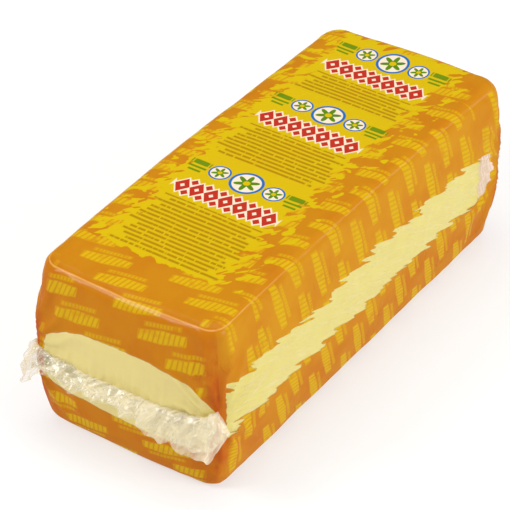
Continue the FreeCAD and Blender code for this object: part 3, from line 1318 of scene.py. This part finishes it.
@dataclass(frozen=True)
class Film:
    """The printed film that hugs the block, with its gathers and tension folds."""

    form: LoafForm
    layout: PrintLayout
    cuts: tuple[int, int, int] = (82, 200, 74)
    gather_height: float = 1.5
    pleat_height: float = 0.75
    band_height: float = 0.22

    def relief(self, points: np.ndarray, gathers: float = 1.0) -> np.ndarray:
        """Height of the film over the smooth loaf.

        Args:
            points: places on the smooth loaf.
            gathers: share of the folds that gather at the seals.

        Returns:
            Millimetres outwards at each place.
        """
        hx, hy, _ = self.form.half
        x, y, z = points.T
        level = self.form.seal_level
        total = self.form.waves(points)
        to_end = np.maximum(hy + self.form.corner_belly - np.abs(y), 0)
        to_side = np.maximum(hx + self.form.side_belly - np.abs(x), 0)
        up = z - level
        span = np.hypot(to_end + to_side, up)
        angle = np.arctan2(up, to_end - to_side)
        stir = field_noise(points, 18.0, 5.0)
        fold = np.sin(angle * 15.0 + stir * 3.0) * 0.5 + 0.5
        near = ease(4.0, 14.0, span) * (1 - ease(18.0, 62.0, span))
        gather = self.gather_height * fold**2 * near * ease(0.0, 10.0, to_end + to_side + 4.0)
        total += gather * gathers
        on_end = ease(-6.0, -1.0, np.abs(y) - self.form.end_line(x))
        pleat = np.sin(x * 1.25 + field_noise(points, 7.0, 9.0) * 2.5) * 0.5 + 0.5
        total += self.pleat_height * pleat * on_end * np.exp(-np.abs(up) / 9.0)
        on_side = ease(-6.0, -1.0, np.abs(x) - hx)
        ripple = np.sin((y * np.sign(x) + up * 2.2) * 0.75 + field_noise(points, 22.0, 2.0) * 3.0)
        strength = np.exp(-((up / 16.0) ** 2)) * (0.4 + 0.6 * ease(60.0, 120.0, y * np.sign(x)))
        total += self.band_height * (ripple * 0.5 + 0.5) * strength * on_side
        return total

    def build(self) -> bpy.types.Object:
        """Makes the film.

        Returns:
            The piece.
        """
        maker = LoafMesh(self.form, self.cuts)
        shell = maker.cage()
        maker.unfold(shell, "print")
        maker.bend(shell, self.relief, 0.0)
        piece = finished_piece(shell, "film", PrintedFilm(self.form, self.layout).make())
        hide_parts("film_sleeve")
        return piece


class End(Enum):
    """The loaf's ends: node replaced, half turns from the front, noise patch, left ear's size."""

    FRONT = ("end_seal_front", 0, 11.0, 1.0)
    BACK = ("end_seal_back", 1, 47.0, 0.0)

    def __init__(self, node: str, half_turns: int, patch: float, left_ear: float) -> None:
        """Names what an end's value holds.

        Args:
            node: the CAD node that the end's seal replaces.
            half_turns: half turns of the seal from the front.
            patch: offset of its noise.
            left_ear: 1 where the left ear stands out, 0 where it is tucked in.
        """
        self.node = node
        self.half_turns = half_turns
        self.patch = patch
        self.left_ear = left_ear


@dataclass(frozen=True)
class SheetGrid:
    """Places on one of a seal's stacked sheets.

    across is -1 at the left ear to 1 at the right one, and along is 0 at the seal to 1 at the
    free edge.
    """

    across: np.ndarray
    along: np.ndarray
    layer: int
    seed: float

    def moved(self, across: float, along: float) -> SheetGrid:
        """The same grid a small step further."""
        return replace(self, across=self.across + across, along=self.along + along)


@dataclass(frozen=True)
class EndSeal:
    """The film gathered beyond the seal: ruffled, crumpled sheets that stand out and hang."""

    form: LoafForm
    end: End
    reach: float = 9.5
    drop: float = 5.5
    drop_left: float = 20.0
    drop_right: float = 21.0
    spread_left: float = 2.0
    spread_right: float = 9.5
    ruffle: float = 1.5
    crumple: float = 1.7
    film: float = 0.12
    inset: float = 2.5
    bury: float = 0.8
    tuck_in: float = 9.0
    sheet_gap: float = 1.2
    full_fall: float = 0.741
    columns: int = 260
    rows: int = 44

    def sheet(self, layer: int) -> bmesh.types.BMesh:
        """One crumpled sheet of film.

        Args:
            layer: which of the stacked sheets.

        Returns:
            The sheet in millimetres, at the front end.
        """
        shell = bmesh.new()
        shell.loops.layers.uv.new("sheet")
        bmesh.ops.create_grid(
            shell, x_segments=self.columns, y_segments=self.rows, size=1.0, calc_uvs=True
        )
        flat = np.array([vert.co for vert in shell.verts])
        seed = self.end.patch + 13.0 * layer
        grid = SheetGrid(flat[:, 0], (flat[:, 1] + 1) / 2, layer, seed)
        middle = self.middle(grid)
        crush = ridge_noise(middle, 10.0, seed) + 0.35 * ridge_noise(middle, 5.0, seed + 3)
        crush = (crush - 0.8) * self.crumple * ease(0.02, 0.35, grid.along)
        crush *= 1 + 0.9 * ease(0.75, 0.95, np.abs(grid.across))
        places = middle + self.normals(grid) * (self.ruffles(grid) + crush)[:, None]
        for vert, place in zip(shell.verts, places):
            vert.co = place
        return shell

    def middle(self, grid: SheetGrid) -> np.ndarray:
        """Plain sweep of the sheet before it is ruffled.

        Args:
            grid: the places.

        Returns:
            Points in millimetres.
        """
        form, across = self.form, grid.across
        side = form.half[0] + form.side_belly
        left = ease(0.6, 1.0, -across)
        right = ease(0.2, 0.75, across)
        tip = ease(0.9, 1.0, across)
        flare = ease(0.7, 0.97, across)
        uneven = 0.12 * np.sin(across * 9.0 + grid.seed)
        uneven += 0.08 * np.sin(across * 21.0 + 2 * grid.seed)
        far = grid.along * (1 + uneven) * (1.0 - 0.22 * grid.layer)
        drop = self.drop + (self.drop_left - self.drop) * left
        drop += (self.drop_right - self.drop) * right * (1 - tip)
        tuck = left * (1 - self.end.left_ear)
        spread = self.spread_right * flare - self.spread_left * left + self.tuck_in * tuck
        x = across * (side - self.inset) + spread * ease(0.1, 0.9, far)
        out = self.reach * (1 + 0.1 * right - 0.2 * left - 0.4 * tip - 0.55 * tuck)
        y = -form.end_line(np.clip(across * (side - self.inset), -side, side)) + self.bury
        y = y - (out + self.bury) * np.sin(np.clip(far, 0, 1.1) * math.pi / 2 / 1.1)
        fall = drop * ease(0.0, 1.5, far) / self.full_fall
        z = form.seal_level - fall - self.sheet_gap * grid.layer * far
        z = z + (2.0 * right + 3.0 * flare + 3.0 * left) * ease(0.0, 0.3, far)
        return np.stack([x, y, z], axis=1)

    def normals(self, grid: SheetGrid) -> np.ndarray:
        """Unit normals of the plain sweep.

        Args:
            grid: the places.

        Returns:
            One normal for each place.
        """
        step = 1e-3
        sideways = self.middle(grid.moved(step, 0.0)) - self.middle(grid.moved(-step, 0.0))
        outward = self.middle(grid.moved(0.0, step)) - self.middle(grid.moved(0.0, -step))
        normal = np.cross(outward, sideways)
        return normal / np.maximum(np.linalg.norm(normal, axis=1), TINY)[:, None]

    def ruffles(self, grid: SheetGrid) -> np.ndarray:
        """Waves that grow and divide towards the free edge.

        Args:
            grid: the places.

        Returns:
            Millimetres off the plain sweep at each place.
        """
        across, seed = grid.across, grid.seed
        drift = np.sin(across * 5.0 + seed) * 1.2 + np.sin(across * 11.0 + seed * 2) * 0.6
        wide = np.sin(across * 22.0 + drift + seed) * ease(0.05, 0.8, grid.along)
        fine = 0.55 * np.sin(across * 51.0 + drift * 2.1 + seed * 3) * ease(0.3, 1.0, grid.along)
        return self.ruffle * (wide + fine)

    def build(self) -> bpy.types.Object:
        """Makes the seal at its end.

        Returns:
            The piece.
        """
        whole = bpy.data.meshes.new("sheets")
        joined = bmesh.new()
        for layer in (0, 1):
            shell = self.sheet(layer)
            bmesh.ops.recalc_face_normals(shell, faces=shell.faces)
            bmesh.ops.solidify(shell, geom=shell.faces[:], thickness=self.film)
            shell.to_mesh(whole)
            shell.free()
            joined.from_mesh(whole)
        bpy.data.meshes.remove(whole)
        turn = Matrix.Rotation(math.pi * self.end.half_turns, 4, "Z") @ Matrix.Scale(MM, 4)
        bmesh.ops.transform(joined, matrix=turn, verts=joined.verts)
        name = self.end.node.replace("end_seal", "seal_film")
        piece = finished_piece(joined, name, ClearFilm().make())
        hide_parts(self.end.node)
        return piece


# --- Studio ---


@dataclass(frozen=True)
class Lamp:
    """A soft rectangular lamp: where it stands, where it looks, its size and its power."""

    name: str
    place: tuple[float, float, float]
    aim: tuple[float, float, float]
    size: tuple[float, float]
    power: float

    def build(self) -> None:
        """Adds the lamp."""
        light = bpy.data.lights.new(self.name, "AREA")
        light.shape = "RECTANGLE"
        light.size, light.size_y = self.size
        light.energy = self.power
        lamp = bpy.data.objects.new(self.name, light)
        lamp.location = self.place
        look = Vector(self.aim) - Vector(self.place)
        lamp.rotation_euler = look.to_track_quat("-Z", "Y").to_euler()
        bpy.context.scene.collection.objects.link(lamp)


@dataclass(frozen=True)
class Studio:
    """Pale floor, soft lamps and a long lens that looks down on the loaf's front corner."""

    azimuth: float = 33.38
    elevation: float = 36.15
    roll: float = 0.69
    distance: float = 1.289
    lens: float = 183.3
    target: tuple[float, float, float] = (0.0074, -0.0334, 0.0649)
    room_light: float = 0.5

    def camera(self) -> None:
        """Adds the camera."""
        turn, lift, roll = (math.radians(a) for a in (self.azimuth, self.elevation, self.roll))
        back = Vector(
            (math.sin(turn) * math.cos(lift), -math.cos(turn) * math.cos(lift), math.sin(lift))
        )
        right = Vector((math.cos(turn), math.sin(turn), 0.0))
        up = back.cross(right)
        level_right = right * math.cos(roll) + up * math.sin(roll)
        level_up = up * math.cos(roll) - right * math.sin(roll)
        data = bpy.data.cameras.new("camera")
        data.sensor_width = 36.0
        data.lens = self.lens
        data.clip_end = 20.0
        camera = bpy.data.objects.new("camera", data)
        place = Matrix((level_right, level_up, back)).transposed().to_4x4()
        place.translation = Vector(self.target) + back * self.distance
        camera.matrix_world = place
        bpy.context.scene.collection.objects.link(camera)
        bpy.context.scene.camera = camera

    def floor(self) -> None:
        """Adds the floor."""
        shell = bmesh.new()
        bmesh.ops.create_grid(shell, x_segments=4, y_segments=4, size=4.0)
        mesh = bpy.data.meshes.new("floor")
        shell.to_mesh(mesh)
        shell.free()
        mesh.materials.append(PaleFloor().make())
        floor = bpy.data.objects.new("floor", mesh)
        bpy.context.scene.collection.objects.link(floor)

    def lights(self) -> None:
        """Adds the lamps and the room's own light."""
        aim = (0.0, 0.0, 0.05)
        for lamp in (
            Lamp("overhead", (-0.3, 0.4, 3.0), aim, (2.4, 2.4), 34.0),
            Lamp("side", (2.2, 0.2, 1.0), aim, (1.2, 1.0), 27.5),
            Lamp("crease", (-0.85, -1.12, 1.28), aim, (0.6, 0.45), 14.0),
            Lamp("edge", (1.12, 1.28, 0.84), aim, (0.25, 0.2), 2.0),
        ):
            lamp.build()
        world = bpy.data.worlds.new("room")
        world.use_nodes = True
        sky = world.node_tree.nodes["Background"]
        sky.inputs["Color"].default_value = (1.0, 1.0, 1.0, 1.0)
        sky.inputs["Strength"].default_value = self.room_light
        bpy.context.scene.world = world

    def colours(self) -> None:
        """Shows colours as they are, with no film-like grading."""
        bpy.context.scene.view_settings.view_transform = "Standard"

    def build(self) -> None:
        """Sets up the whole studio."""
        self.camera()
        self.floor()
        self.lights()
        self.colours()


def main() -> None:
    """Builds the loaf and the studio, and writes how large the result is."""
    logging.basicConfig(level=logging.INFO, format="%(name)s: %(message)s")
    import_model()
    form = LoafForm.from_sleeve()
    LOG.info("loaf %.1f x %.1f x %.1f mm", form.width, form.length, form.height)
    film = Film(form, PrintLayout())
    film.build()
    Cheese(film).build()
    for end in End:
        EndSeal(form, end).build()
    Studio().build()


if __name__ == "__main__":
    main()
